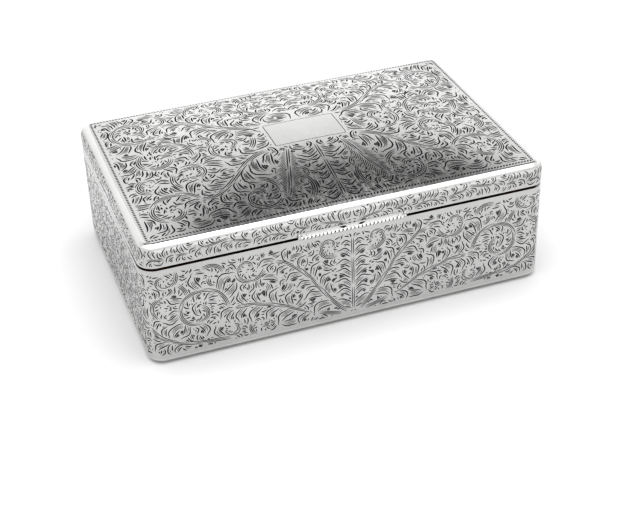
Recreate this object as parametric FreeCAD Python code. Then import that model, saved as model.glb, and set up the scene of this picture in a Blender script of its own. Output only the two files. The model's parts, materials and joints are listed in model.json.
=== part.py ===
import FreeCAD, Part
import os

V = FreeCAD.Vector

# An engraved silver table box with a hinged, gently domed lid, lined with cedar.
# Millimetres, +Z up. The origin is under the middle of the box, on the table.
# The front, with the thumb lift, faces -Y, and the hinge is along the back.

# Silver case
WIDTH = 178.0            # left to right, over the silver
DEPTH = 115.0            # front to back, over the silver
WALL = 0.8               # sheet silver
CORNER = 7.0             # radius of the upright corners
BASE_ROUND = 2.4         # radius of the bottom edge
EDGE_Z = 57.5            # height of the lid's top at its outer edge
DOME = 6.6               # rise of the lid's top above that edge
LID_ROUND = 4.0          # radius between the lid's skirt and its top
DOME_REACH = 1.2         # the dome's surface runs on past the edge by this factor

# Seam between the body and the lid
SEAM_Z = 46.6            # middle of the seam, and the height of the hinge's axis
SEAM_GAP = 0.25          # gap between the closed lid and the body
RELIEF_UP = 0.95         # the lid's lower edge is eased by this much along the front
RELIEF_FLAT = 8.0        # length of the full relief, back from the front face
RELIEF_RUN = 30.0        # the relief has run out at this distance from the front face
BACK_BEVEL = 0.6         # both back edges are bevelled round the hinge's axis

# Strips soldered inside the two mouths
RIM_WIDTH = 1.2
BODY_RIM_TALL = 3.0
LID_RIM_TALL = 2.5

# Hinge
HINGE_LENGTH = 120.0
KNUCKLES = 7             # four on the body, three on the lid
BARREL = 1.8             # outer radius of a knuckle
PIN = 0.8                # radius of the pin
PIN_FIT = 0.03           # gap between the pin and the bore
KNUCKLE_GAP = 0.3        # between one knuckle and the next
RELIEF = 0.3             # clearance round the knuckles of the other part
BEARER_THICK = 2.0
BEARER_TALL = 6.0
PIN_HEAD = 1.4           # radius of the pin's peened ends
PIN_HEAD_THICK = 0.6

# Thumb lift
LIFT_LENGTH = 48.0
LIFT_OUT = 1.8
LIFT_TALL = 2.7
LIFT_NOSE = 0.5          # radius of the lip
LIFT_TOP_THICK = 0.35
LIFT_END = 1.4           # radius of the two ends in plan

# Baize under the base
PAD_THICK = 0.6
PAD_INSET = 4.5
PAD_CORNER = 3.0

# Cedar lining
BOARD = 3.0
FLOOR_THICK = 2.5
FLOOR_INSET = 1.6
LINER_CORNER = 5.0
LINER_BELOW_RIM = 1.0
DIVIDER_THICK = 2.5
DIVIDER_DROP = 6.0
LID_STRIP_Z = 48.6       # underside of the four strips in the lid
LID_STRIP_TALL = 4.9
LID_PANEL_THICK = 1.5
LID_PANEL_INSET = 2.6

FRONT_Y = -DEPTH / 2
BACK_Y = DEPTH / 2
RIM_Z = SEAM_Z - SEAM_GAP / 2
SKIRT_Z = SEAM_Z + SEAM_GAP / 2
INNER_FLOOR_Z = PAD_THICK + WALL
BOARD_Z = INNER_FLOOR_Z + FLOOR_THICK
BOARD_TOP_Z = RIM_Z - LINER_BELOW_RIM
PITCH = HINGE_LENGTH / KNUCKLES
LINER_X = WIDTH / 2 - WALL - RIM_WIDTH
LINER_FRONT_Y = FRONT_Y + WALL + RIM_WIDTH
LINER_BACK_Y = BACK_Y - WALL - BEARER_THICK
PAST = 5.0               # cutting shapes run past what they cut


def rounded_block(x_half, y_low, y_high, z_low, z_high, radius):
    """A block with its four upright edges rounded."""
    block = Part.makeBox(2 * x_half, y_high - y_low, z_high - z_low, V(-x_half, y_low, z_low))
    upright = [edge for edge in block.Edges if edge.BoundBox.ZLength > edge.BoundBox.DiagonalLength / 2
               and edge.BoundBox.XLength + edge.BoundBox.YLength < radius]
    return block.makeFillet(radius, upright)


def case_block(inset, z_low, z_high):
    """The case's outline in plan, moved inwards by inset."""
    return rounded_block(WIDTH / 2 - inset, FRONT_Y + inset, BACK_Y - inset, z_low, z_high,
                         CORNER - inset)


def tray_form(inset, z_high):
    """The body's outer form, or with an inset its inner form: a block with a rounded bottom edge."""
    z_low = PAD_THICK + inset
    block = case_block(inset, z_low, z_high)
    bottom = [edge for edge in block.Edges if edge.BoundBox.ZMax < z_low + 0.01]
    return block.makeFillet(BASE_ROUND - inset, bottom)


def dome_block(drop):
    """Everything under the lid's domed surface, which is lowered by drop.

    The height is EDGE_Z + DOME * (1 - u^2) * (1 - v^2), where u and v are 1 at the top's edge.
    """
    x_edge = (WIDTH / 2 - LID_ROUND) * DOME_REACH
    y_edge = (DEPTH / 2 - LID_ROUND) * DOME_REACH
    rise = (1 - DOME_REACH ** 2, 1 + DOME_REACH ** 2, 1 - DOME_REACH ** 2)
    surface = Part.BezierSurface()
    surface.increase(2, 2)
    for column in range(3):
        for row in range(3):
            height = EDGE_Z - drop + DOME * rise[column] * rise[row]
            pole = V((column - 1) * x_edge, (row - 1) * y_edge, height)
            surface.setPole(column + 1, row + 1, pole)
    return surface.toShape().extrude(V(0, 0, -EDGE_Z))


def lid_form(inset, z_low):
    """The lid's outer form, or with an inset its inner form."""
    block = case_block(inset, z_low, EDGE_Z + DOME + PAST).common(dome_block(inset))
    rim = [edge for edge in block.Edges if edge.BoundBox.ZMin > SKIRT_Z + PAST]
    return block.makeFillet(LID_ROUND - inset, rim)


def mouth_ring(width, z_low, z_high):
    """A strip that follows the inside of the silver wall."""
    return case_block(WALL, z_low, z_high).cut(case_block(WALL + width, z_low, z_high))


def along_hinge(radius, x_low, x_high):
    return Part.makeCylinder(radius, x_high - x_low, V(x_low, BACK_Y, SEAM_Z), V(1, 0, 0))


def knuckle_spans(first):
    """The ends along X of every second knuckle: first is 0 for the body's and 1 for the lid's."""
    spans = []
    for number in range(first, KNUCKLES, 2):
        x_low = -HINGE_LENGTH / 2 + number * PITCH
        spans.append((x_low + KNUCKLE_GAP / 2, x_low + PITCH - KNUCKLE_GAP / 2))
    return spans


def hinge_cutter(own_first):
    """What is filed away for the hinge: a close seat for a part's own knuckles, and relief elsewhere."""
    x_end = HINGE_LENGTH / 2 + PIN_HEAD_THICK + RELIEF
    cutter = along_hinge(BACK_BEVEL, -WIDTH / 2 + CORNER, WIDTH / 2 - CORNER)
    for x_low, x_high in knuckle_spans(own_first):
        cutter = cutter.fuse(along_hinge(BARREL, x_low, x_high))
    for x_low, x_high in knuckle_spans(1 - own_first):
        cutter = cutter.fuse(along_hinge(BARREL + RELIEF, x_low - KNUCKLE_GAP, x_high + KNUCKLE_GAP))
    for side in (-1, 1):
        x_in = HINGE_LENGTH / 2 - KNUCKLE_GAP / 2
        x_low, x_high = sorted((side * x_in, side * x_end))
        cutter = cutter.fuse(along_hinge(BARREL + RELIEF, x_low, x_high))
    return cutter


def front_relief():
    """The easing of the lid's lower edge, full along the front and run out along the sides."""
    z_low = SKIRT_Z - PAST
    z_high = SKIRT_Z + RELIEF_UP
    y_out = FRONT_Y - PAST
    y_flat = FRONT_Y + RELIEF_FLAT
    y_end = FRONT_Y + RELIEF_RUN
    y_middle = (y_flat + y_end) / 2
    run_out = Part.BezierCurve()
    run_out.setPoles([V(0, y_flat, z_high), V(0, y_middle, z_high), V(0, y_middle, SKIRT_Z),
                      V(0, y_end, SKIRT_Z)])
    corners = [V(0, y_end, SKIRT_Z), V(0, y_end, z_low), V(0, y_out, z_low), V(0, y_out, z_high),
               V(0, y_flat, z_high)]
    edges = [run_out.toShape()] + [Part.makeLine(a, b) for a, b in zip(corners, corners[1:])]
    face = Part.Face(Part.Wire(edges))
    face.translate(V(-WIDTH, 0, 0))
    return face.extrude(V(2 * WIDTH, 0, 0))


def bearer_block(z_low, z_high):
    y_low = BACK_Y - WALL - BEARER_THICK
    return Part.makeBox(HINGE_LENGTH, BEARER_THICK, z_high - z_low, V(-HINGE_LENGTH / 2, y_low, z_low))


def body_shell():
    shell = tray_form(0, RIM_Z).cut(tray_form(WALL, RIM_Z + PAST))
    return shell.cut(hinge_cutter(0))


def body_rim():
    z_low = RIM_Z - BODY_RIM_TALL
    return mouth_ring(RIM_WIDTH, z_low, RIM_Z).cut(bearer_block(z_low, RIM_Z)).cut(hinge_cutter(0))


def body_hinge_bearer():
    return bearer_block(RIM_Z - BEARER_TALL, RIM_Z).cut(hinge_cutter(0))


def knuckles(first):
    bore = along_hinge(PIN + PIN_FIT, -WIDTH / 2, WIDTH / 2)
    tubes = [along_hinge(BARREL, x_low, x_high).cut(bore) for x_low, x_high in knuckle_spans(first)]
    return Part.makeCompound(tubes)


def hinge_pin():
    x_in = HINGE_LENGTH / 2 - KNUCKLE_GAP / 2
    x_out = x_in + PIN_HEAD_THICK
    pin = along_hinge(PIN, -x_out, x_out)
    for x_low in (-x_out, x_in):
        pin = pin.fuse(along_hinge(PIN_HEAD, x_low, x_low + PIN_HEAD_THICK))
    return pin.removeSplitter()


def base_pad():
    return rounded_block(WIDTH / 2 - PAD_INSET, FRONT_Y + PAD_INSET, BACK_Y - PAD_INSET, 0, PAD_THICK,
                         PAD_CORNER)


def lid_shell():
    shell = lid_form(0, SKIRT_Z).cut(lid_form(WALL, SKIRT_Z - PAST))
    return shell.cut(front_relief()).cut(hinge_cutter(1))


def lid_rim():
    z_high = SKIRT_Z + LID_RIM_TALL
    ring = mouth_ring(RIM_WIDTH, SKIRT_Z, z_high).cut(bearer_block(SKIRT_Z, z_high))
    return ring.cut(front_relief()).cut(hinge_cutter(1))


def lid_hinge_bearer():
    return bearer_block(SKIRT_Z, SKIRT_Z + BEARER_TALL).cut(hinge_cutter(1))


def thumb_lift():
    """A flared lip along the skirt's lower edge: flat underneath, a round nose, a hollow above it."""
    z_low = SKIRT_Z
    y_nose = FRONT_Y - LIFT_OUT + LIFT_NOSE
    y_top = FRONT_Y - LIFT_TOP_THICK
    z_nose = z_low + 2 * LIFT_NOSE
    z_high = z_low + LIFT_TALL
    nose = Part.Arc(V(0, y_nose, z_low), V(0, FRONT_Y - LIFT_OUT, z_low + LIFT_NOSE), V(0, y_nose, z_nose))
    hollow = Part.BezierCurve()
    hollow.setPoles([V(0, y_nose, z_nose), V(0, y_top, z_nose), V(0, y_top, z_high)])
    edges = [Part.makeLine(V(0, FRONT_Y, z_low), V(0, y_nose, z_low)), nose.toShape(), hollow.toShape(),
             Part.makeLine(V(0, y_top, z_high), V(0, FRONT_Y, z_high)),
             Part.makeLine(V(0, FRONT_Y, z_high), V(0, FRONT_Y, z_low))]
    face = Part.Face(Part.Wire(edges))
    face.translate(V(-LIFT_LENGTH / 2, 0, 0))
    lip = face.extrude(V(LIFT_LENGTH, 0, 0))
    plan = rounded_block(LIFT_LENGTH / 2, FRONT_Y - LIFT_OUT, FRONT_Y + PAST, z_low, z_high, LIFT_END)
    return lip.common(plan)


def liner_outline(inset, z_low, z_high, radius):
    return rounded_block(LINER_X - inset, LINER_FRONT_Y + inset, LINER_BACK_Y - inset, z_low, z_high, radius)


def liner_ring(z_low, z_high):
    """Four boards in one ring, before the corners are mitred."""
    inside = Part.makeBox(2 * (LINER_X - BOARD), LINER_BACK_Y - LINER_FRONT_Y - 2 * BOARD, z_high - z_low,
                          V(-LINER_X + BOARD, LINER_FRONT_Y + BOARD, z_low))
    return liner_outline(0, z_low, z_high, LINER_CORNER).cut(inside)


def mitred_board(side, z_low, z_high):
    """One side of the ring, cut at 45 degrees through its two corners."""
    left, right = -LINER_X + BOARD, LINER_X - BOARD
    front, back = LINER_FRONT_Y + BOARD, LINER_BACK_Y - BOARD
    out = BOARD + 1
    wedges = {
        "front": [(left - out, front - out), (right + out, front - out), (right, front), (left, front)],
        "back": [(left - out, back + out), (right + out, back + out), (right, back), (left, back)],
        "left": [(left - out, front - out), (left, front), (left, back), (left - out, back + out)],
        "right": [(right + out, front - out), (right, front), (right, back), (right + out, back + out)],
    }
    corners = [V(x, y, z_low) for x, y in wedges[side]]
    wedge = Part.Face(Part.makePolygon(corners + corners[:1])).extrude(V(0, 0, z_high - z_low))
    return liner_ring(z_low, z_high).common(wedge)


def liner_floor():
    inset = WALL + FLOOR_INSET
    return case_block(inset, INNER_FLOOR_Z, BOARD_Z)


def liner_divider():
    y_low = LINER_FRONT_Y + BOARD
    y_high = LINER_BACK_Y - BOARD
    tall = BOARD_TOP_Z - DIVIDER_DROP - BOARD_Z
    return Part.makeBox(DIVIDER_THICK, y_high - y_low, tall, V(-DIVIDER_THICK / 2, y_low, BOARD_Z))


def lid_panel():
    z_low = LID_STRIP_Z + LID_STRIP_TALL
    return case_block(WALL + LID_PANEL_INSET, z_low, z_low + LID_PANEL_THICK)


def all_parts():
    parts = {
        "body_shell": body_shell(),
        "body_rim": body_rim(),
        "body_hinge_bearer": body_hinge_bearer(),
        "body_knuckles": knuckles(0),
        "hinge_pin": hinge_pin(),
        "base_pad": base_pad(),
        "liner_floor": liner_floor(),
        "liner_divider": liner_divider(),
        "lid_shell": lid_shell(),
        "lid_rim": lid_rim(),
        "lid_hinge_bearer": lid_hinge_bearer(),
        "lid_knuckles": knuckles(1),
        "thumb_lift": thumb_lift(),
        "lid_panel": lid_panel(),
    }
    for side in ("front", "back", "left", "right"):
        parts["liner_" + side] = mitred_board(side, BOARD_Z, BOARD_TOP_Z)
        parts["lid_strip_" + side] = mitred_board(side, LID_STRIP_Z, LID_STRIP_Z + LID_STRIP_TALL)
    return parts


os.makedirs("parts", exist_ok=True)
for name, shape in all_parts().items():
    shape.exportStep("parts/" + name + ".step")
    solids = len(shape.Solids)
    print(name, "solids", solids, "valid", shape.isValid(), "volume", round(shape.Volume, 1))
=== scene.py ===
import json
import math
import random

import bmesh
import bpy
import numpy as np
from mathutils import Matrix, Vector
from mathutils.geometry import delaunay_2d_cdt


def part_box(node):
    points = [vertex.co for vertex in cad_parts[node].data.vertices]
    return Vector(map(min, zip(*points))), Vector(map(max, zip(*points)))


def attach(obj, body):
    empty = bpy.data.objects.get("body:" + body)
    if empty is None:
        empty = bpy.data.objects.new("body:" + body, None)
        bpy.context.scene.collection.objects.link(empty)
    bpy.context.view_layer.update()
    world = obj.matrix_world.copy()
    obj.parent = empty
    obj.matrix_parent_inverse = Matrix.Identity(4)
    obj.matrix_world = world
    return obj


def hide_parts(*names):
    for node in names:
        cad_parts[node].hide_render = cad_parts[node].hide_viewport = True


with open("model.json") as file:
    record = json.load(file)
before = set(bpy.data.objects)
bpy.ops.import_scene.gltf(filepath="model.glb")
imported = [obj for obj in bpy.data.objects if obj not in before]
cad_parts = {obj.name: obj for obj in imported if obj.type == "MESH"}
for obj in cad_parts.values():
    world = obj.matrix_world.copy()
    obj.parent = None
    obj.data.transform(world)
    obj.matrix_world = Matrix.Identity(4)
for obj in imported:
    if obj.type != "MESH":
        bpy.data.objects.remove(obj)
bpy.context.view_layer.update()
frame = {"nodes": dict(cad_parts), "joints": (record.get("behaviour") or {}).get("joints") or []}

# Lengths here are millimetres unless a name says otherwise; meshes are made in metres.
MM = 0.001


def node_box(node):
    """A CAD piece's box in the row's frame."""
    low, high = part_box(node)
    return np.array(low) / MM, np.array(high) / MM


SHELL_LOW, SHELL_HIGH = node_box("body_shell")
LID_HIGH = node_box("lid_shell")[1]
RIM_HIGH = node_box("body_rim")[1]
KNUCKLES_LOW, KNUCKLES_HIGH = node_box("body_knuckles")
HINGE_Z = frame["joints"][0]["pos_m"][2] / MM

HALF_WIDTH = SHELL_HIGH[0]
HALF_DEPTH = -SHELL_LOW[1]
WALL = SHELL_HIGH[0] - RIM_HIGH[0]
BASE_Z = SHELL_LOW[2]
RIM_Z = RIM_HIGH[2]
SKIRT_Z = 2 * HINGE_Z - RIM_Z

# The silver's shape, as the CAD model has it
CORNER = 7.0
BASE_ROUND = 2.4
LID_ROUND = 4.0
DOME = 6.6
EDGE_Z = LID_HIGH[2] - DOME
RELIEF_UP = 0.95
RELIEF_FLAT = 8.0
RELIEF_RUN = 30.0
BACK_BEVEL = 0.6
KNUCKLE_COUNT = 7
KNUCKLE_GAP = 0.3
KNUCKLE_RELIEF = 0.3
PIN_HEAD_THICK = 0.6
BARREL = (KNUCKLES_HIGH[2] - KNUCKLES_LOW[2]) / 2
HINGE_LENGTH = KNUCKLES_HIGH[0] - KNUCKLES_LOW[0] + KNUCKLE_GAP
HINGE_END = HINGE_LENGTH / 2 + PIN_HEAD_THICK + KNUCKLE_RELIEF

# Meshing
STATION_STEP = 4.0       # between places along a side,
ARC_STEPS = 7            # and steps round half of a corner
EASE_SAMPLES = 60        # along the curve of the lid's eased edge
POLISH_ROWS = 10
COLUMN_STEP = 1.2        # between the loose points of an upright face,
LEVEL_STEP = 1.6         # one above the other there,
TOP_STEP = 2.6           # of the domed top,
EDGE_CLEAR = 0.6         # which keep this far from its edge,
CEILING_STEP = 6.0       # and of the lid's ceiling,
CEILING_CLEAR = 2.0      # which keep this far from its edge
LOOSE_CLEAR = 0.2        # from a loose point to the middle line
MIDDLE_POINTS = 52       # down the line that the top's halves share
JOIN = 1e-7              # metres, under which points are joined,
COLLAPSE = 1e-8          # and under which an edge is dropped
SMOOTH_ANGLE = math.radians(28)     # edges over this stay sharp
POLISH_START = math.radians(44.0)   # the engraving stops this far up the lid's rounded edge

# Engraving
CELL = 0.07              # of the grid that says where nothing more may be cut
SAMPLE = 0.12            # between the places where a path is tested
NODE_STEP = 1.0          # length of the straight parts that a cut is made of,
MOST_PARTS = 9           # and how many it has at most
CUT_SWELL = 0.55         # how sharply a cut swells from its ends,
SHADE_SWELL = 0.5        # and a row of a dark patch
RULE_POINT = 0.02        # share of a ruled line that is pointed, at each end
RULE_GAP = 0.1           # and the bright metal that it keeps beside it
GROOVE_DEPTH = 0.42      # of a cut's width,
DEEPEST = 0.25           # but never more than this
OUTLINE = 0.44           # widths of the cuts: a lobe's edge,
STEM_LINE = 0.30         # a stem's lines,
HAIR = 0.22              # the fine lines inside a lobe,
SHADE = 0.52             # and the close rows of a dark patch
HATCH_STEP = 0.44        # between those rows,
HAIR_STEP = 0.46         # between the fine lines,
STEM_STEP = 0.5          # a stem's lines
RIB_STEP = 0.62          # and a fern's ribs
HATCH_TRIM = 0.09        # each row of a patch is shorter than the last by this share at both ends,
HATCH_NODE_STEP = 0.5    # is made of straight parts at least this long,
HATCH_PARTS = 5          # but not more than this many of them,
HATCH_GAP = 0.2          # and keeps this much bright metal beside the patch
LEAF_SHARE = 0.16        # half of a lobe's width, of its length
INNER_SHARE = 0.75       # its hollow side's swell, of its outer side's
SCALLOPS = 2.5           # round its outer edge,
SCALLOP_SHARE = 0.12     # and how far they stand out, of its length
LOBE_TURNS = (0.2, 1.9)  # how sharply it bends at its root and tip, of its mean
LEAF_SHRINK = 0.7        # where a lobe has no room, a smaller one is tried,
SMALLEST_LEAF = 2.4      # but none under this length
LONG_LEAF = 6.0          # a lobe over this length gets one more dark row
DARK_CHANCE = 0.8        # that a lobe has a dark fold
STEM_SAMPLE = 0.3
FROND_PITCH = 0.62       # between a frond's lobes, of their length
FROND_LEAN = 0.5         # of its lobes, in radians
MIDDLE_FROND = {"sides": (-1,), "taper": 0.2, "lines": 1}
SCROLL_POINTS = 60
SCROLL_PITCH = 0.42      # between a scroll's lobes, of its radius
# A scroll's lobes on both its sides: (side, lean, size, least bend, most bend)
SCROLL_LOBES = ((1, 0.55, 1.0, 1.5, 2.3), (-1, 0.35, 0.6, 1.4, 2.0))
# Large and small scrolls: (least radius, most radius, tries, turns)
FILL_SCROLLS = ((0.85, 1.1, 40, 1.25), (0.45, 0.65, 30, 0.95))
FILL_LEAF = 2.6          # the shortest lobe that fills a gap
ROOMY = 0.6              # the share of a place that must be free for something to go there
TINY = 1e-9
BORDER_INSET = 1.0
BORDER_PITCH = 1.4
BORDER_CUT = 1.6
BORDER_LINE = 0.52
BORDER_BAND = 2.3
CARTOUCHE = (16.0, 9.5)
CARTOUCHE_LINE = 0.17
CARTOUCHE_MARGIN = 1.3


# --- Outline of the silver case, in plan ---

SIDES = {
    "front": ((0, -1), (1, 0), HALF_DEPTH, HALF_WIDTH - CORNER),
    "right": ((1, 0), (0, 1), HALF_WIDTH, HALF_DEPTH - CORNER),
    "back": ((0, 1), (-1, 0), HALF_DEPTH, HALF_WIDTH - CORNER),
    "left": ((-1, 0), (0, -1), HALF_WIDTH, HALF_DEPTH - CORNER),
}


def reach(side):
    """Distance along the outline from the side's middle to the middle of its corner."""
    return SIDES[side][3] + CORNER * math.pi / 4


def outline(side, u):
    """Points and outward normals in plan, u along the side from its middle and round its corners."""
    normal, tangent, distance, half = SIDES[side]
    normal, tangent = np.array(normal, float), np.array(tangent, float)
    u = np.asarray(u, float)
    straight = np.clip(u, -half, half)
    turn = (u - straight) / CORNER
    normals = np.cos(turn)[:, None] * normal + np.sin(turn)[:, None] * tangent
    centres = (distance - CORNER) * normal + straight[:, None] * tangent
    return centres + CORNER * normals, normals


def knuckle_edges(first):
    """The ends along X of every second knuckle: first is 0 for the body's and 1 for the lid's."""
    pitch = HINGE_LENGTH / KNUCKLE_COUNT
    starts = [-HINGE_LENGTH / 2 + number * pitch for number in range(first, KNUCKLE_COUNT, 2)]
    return [(x + KNUCKLE_GAP / 2, x + pitch - KNUCKLE_GAP / 2) for x in starts]


def hinge_cut(x, own_first):
    """Radius of the cylinder that is filed away round the hinge's axis at x."""
    if abs(x) > HALF_WIDTH - CORNER:
        return 0.0
    if abs(x) > HINGE_END:
        return BACK_BEVEL
    for low, high in knuckle_edges(own_first):
        if low < x < high:
            return BARREL
    return BARREL + KNUCKLE_RELIEF


def stations(side, own_first):
    """(u, cut) down one side; where the filing round the hinge changes, a place comes twice."""
    half = SIDES[side][3]
    straight = np.linspace(-half, half, 2 * round(half / STATION_STEP) + 1)
    arc = np.linspace(0, reach(side) - half, ARC_STEPS + 1)[1:]
    places = list(np.concatenate([-(half + arc)[::-1], straight, half + arc]))
    if side != "back":
        return [(u, 0.0) for u in places]
    steps = [edge for pair in knuckle_edges(own_first) for edge in pair]
    steps += [-HINGE_END, HINGE_END, -half, half]
    near = 0.05
    rows = [(u, hinge_cut(u, own_first)) for u in places if all(abs(u - step) > near for step in steps)]
    for step in steps:
        rows += [(step, hinge_cut(step - near, own_first)), (step, hinge_cut(step + near, own_first))]
    return sorted(rows, key=lambda row: row[0])


# --- The lid's domed top ---

TOP_HALF = np.array([HALF_WIDTH - LID_ROUND, HALF_DEPTH - LID_ROUND])


def dome(points, drop=0.0):
    """Heights and upward normals of the domed top at points in plan."""
    u, v = (points / TOP_HALF).T
    height = EDGE_Z - drop + DOME * (1 - u ** 2) * (1 - v ** 2)
    slope_x = -2 * u * DOME * (1 - v ** 2) / TOP_HALF[0]
    slope_y = -2 * v * DOME * (1 - u ** 2) / TOP_HALF[1]
    normals = np.stack([-slope_x, -slope_y, np.ones(len(u))], 1)
    return height, normals / np.linalg.norm(normals, axis=1)[:, None]


def lid_rounding(side, u, inset=0.0):
    """Where a ball rolls between the skirt and the top: its centre's height and its last angle."""
    points, normals = outline(side, u)
    radius = LID_ROUND - inset
    touch = np.full(len(points), inset + radius)
    for _ in range(4):
        height, up = dome(points - normals * touch[:, None], inset)
        lean = np.arctan2((normals * up[:, :2]).sum(1), up[:, 2])
        touch = inset + radius * (1 - np.sin(lean))
    height, up = dome(points - normals * touch[:, None], inset)
    return height - radius * np.cos(lean), math.pi / 2 - lean


def relief(side, u):
    """How far the lid's lower edge is eased upwards along the front."""
    y = outline(side, u)[0][:, 1] + HALF_DEPTH
    t = np.linspace(0, 1, EASE_SAMPLES)
    middle = (RELIEF_FLAT + RELIEF_RUN) / 2
    run = RELIEF_FLAT * (1 - t) ** 3 + 3 * middle * t * (1 - t) + RELIEF_RUN * t ** 3
    rise = (1 - t) ** 3 + 3 * (1 - t) ** 2 * t
    return RELIEF_UP * np.interp(y, run, rise)


# --- Engraving, drawn flat ---

def resample(path, step):
    """The same path in even steps of about this length."""
    path = np.asarray(path, float)
    lengths = np.concatenate([[0], np.cumsum(np.linalg.norm(np.diff(path, axis=0), axis=1))])
    count = max(2, int(round(lengths[-1] / step)) + 1)
    places = np.linspace(0, lengths[-1], count)
    return np.stack([np.interp(places, lengths, path[:, axis]) for axis in (0, 1)], 1)


def longest_run(flags):
    """First and last index of the longest stretch of true flags."""
    padded = np.concatenate([[0], flags.astype(int), [0]])
    change = np.diff(padded)
    starts, ends = np.flatnonzero(change == 1), np.flatnonzero(change == -1)
    if not len(starts):
        return 0, 0
    best = np.argmax(ends - starts)
    return starts[best], ends[best]


class Plate:
    """One face to engrave, flat: burin strokes, and the places where nothing more may be cut."""

    def __init__(self, low, high, seed, weight=1.0, dark_rows=2, spacing=1.0):
        self.weight = weight
        self.spacing = weight * spacing
        self.dark_rows = dark_rows
        self.low = np.array(low, float)
        self.high = np.array(high, float)
        self.taken = np.zeros(np.ceil((self.high - self.low) / CELL).astype(int), bool)
        self.strokes = []
        self.draw = random.Random(seed)

    def cells(self, points):
        return np.floor((points - self.low) / CELL).astype(int)

    def on_plate(self, cells):
        return ((cells >= 0) & (cells < self.taken.shape)).all(1)

    def look_up(self, cells):
        cells = np.clip(cells, 0, np.array(self.taken.shape) - 1)
        return self.taken[cells[:, 0], cells[:, 1]]

    def free(self, points):
        cells = self.cells(points)
        return self.on_plate(cells) & ~self.look_up(cells)

    def clear(self, points):
        """True where nothing is cut, off the plate too."""
        cells = self.cells(points)
        return ~(self.on_plate(cells) & self.look_up(cells))

    def mark(self, points, radius):
        """Nothing more is cut within this radius of these points."""
        size = int(math.ceil(radius / CELL))
        span = np.arange(-size, size + 1)
        disc = np.array([(i, j) for i in span for j in span if math.hypot(i, j) * CELL <= radius])
        cells = (self.cells(points)[:, None, :] + disc[None]).reshape(-1, 2)
        cells = cells[self.on_plate(cells)]
        self.taken[cells[:, 0], cells[:, 1]] = True

    def block(self, low, high):
        """Nothing more is cut inside this box."""
        first, last = np.clip(self.cells(np.array([low, high], float)), 0, None)
        self.taken[first[0]:last[0], first[1]:last[1]] = True

    def keep_bright(self, ring):
        """Nothing more is cut inside this outline."""
        first = np.clip(self.cells(ring.min(0)[None])[0], 0, None)
        last = np.clip(self.cells(ring.max(0)[None])[0] + 1, 0, self.taken.shape)
        if (last <= first).any():
            return
        x, y = (self.low[axis] + (np.arange(first[axis], last[axis]) + 0.5) * CELL for axis in (0, 1))
        inside = np.zeros((len(x), len(y)), bool)
        for (x1, y1), (x2, y2) in zip(ring, np.roll(ring, -1, axis=0)):
            if y1 != y2:
                rows = (y1 > y) != (y2 > y)
                edge = x1 + (y - y1) * (x2 - x1) / (y2 - y1)
                inside ^= rows[None, :] & (x[:, None] < edge[None, :])
        self.taken[first[0]:last[0], first[1]:last[1]] |= inside

    def free_part(self, line, shortest):
        """The longest free stretch of a line's samples; nothing if it is shorter than this."""
        first, last = longest_run(self.free(line))
        if (last - first) * SAMPLE < shortest:
            return line[:0]
        return line[first:last]

    def add_stroke(self, nodes, width, swell):
        """A stroke that swells in its middle and ends in points."""
        t = np.linspace(0, 1, len(nodes))
        self.strokes.append((nodes, width / 2 * np.sin(math.pi * t) ** swell))

    def cut(self, path, width, shortest=2.2, gap=0.24):
        """Cuts the longest free part of a path, unless it is under so many widths long."""
        width *= self.weight
        samples = self.free_part(resample(path, SAMPLE), shortest * width)
        if len(samples):
            length = (len(samples) - 1) * SAMPLE
            parts = min(MOST_PARTS, max(2, math.ceil(length / NODE_STEP)))
            self.add_stroke(resample(samples, length / parts), width, CUT_SWELL)
            self.mark(samples, width / 2 + gap * self.spacing)

    def rule(self, start, end, width):
        """Cuts a straight line of even width."""
        width *= self.weight
        share = np.array([0, RULE_POINT, 0.5, 1 - RULE_POINT, 1])[:, None]
        nodes = np.array(start, float) * (1 - share) + np.array(end, float) * share
        self.strokes.append((nodes, width / 2 * np.array([0, 1, 1, 1, 0])))
        self.mark(resample(nodes, SAMPLE), width / 2 + RULE_GAP)

    def hatch(self, path, side, rows, shortest=1.6):
        """A dark patch: rows of close cuts, each shorter than the last, stepping away from the path."""
        steps = np.gradient(path, axis=0)
        across = np.stack([-steps[:, 1], steps[:, 0]], 1)
        across *= side / np.maximum(np.linalg.norm(across, axis=1), TINY)[:, None]
        width = SHADE * self.weight
        lines = []
        for row in range(rows):
            line = path + across * row * HATCH_STEP * self.weight
            trim = int(round(len(path) * HATCH_TRIM * row))
            if len(line) - 2 * trim < 2:
                break
            line = self.free_part(resample(line[trim:len(line) - trim], SAMPLE), shortest * width)
            if len(line):
                step = max(HATCH_NODE_STEP, (len(line) - 1) * SAMPLE / HATCH_PARTS)
                self.add_stroke(resample(line, step), width, SHADE_SWELL)
                lines.append(line)
        for line in lines:
            self.mark(line, width / 2 + HATCH_GAP * self.spacing)

    def free_share(self, centre, radius):
        """How much of a disc is free, from three rings of samples."""
        turns = np.linspace(0, 2 * math.pi, 12, endpoint=False)
        rings = [centre + radius * share * np.array([math.cos(a), math.sin(a)])
                 for share in (0.3, 0.6, 0.95) for a in turns]
        return self.free(np.array(rings)).mean()

    def roomiest(self, radius, tries):
        """The best of a few random places for something of this radius."""
        spots = [np.array([self.draw.uniform(self.low[axis], self.high[axis]) for axis in (0, 1)])
                 for _ in range(tries)]
        shares = [self.free_share(spot, radius) for spot in spots]
        best = int(np.argmax(shares))
        return spots[best], shares[best]


def curve(start, heading, length, turn_start, turn_end, points=28):
    """A curve whose turning, in radians per millimetre, changes evenly along its length."""
    step = length / (points - 1)
    turning = turn_start + (turn_end - turn_start) * np.linspace(0, 1, points)
    headings = heading + np.concatenate([[0], np.cumsum((turning[:-1] + turning[1:]) / 2 * step)])
    steps = step * np.stack([np.cos(headings), np.sin(headings)], 1)
    moves = np.cumsum((steps[:-1] + steps[1:]) / 2, axis=0)
    return np.array(start, float) + np.concatenate([[[0, 0]], moves]), headings


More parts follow.
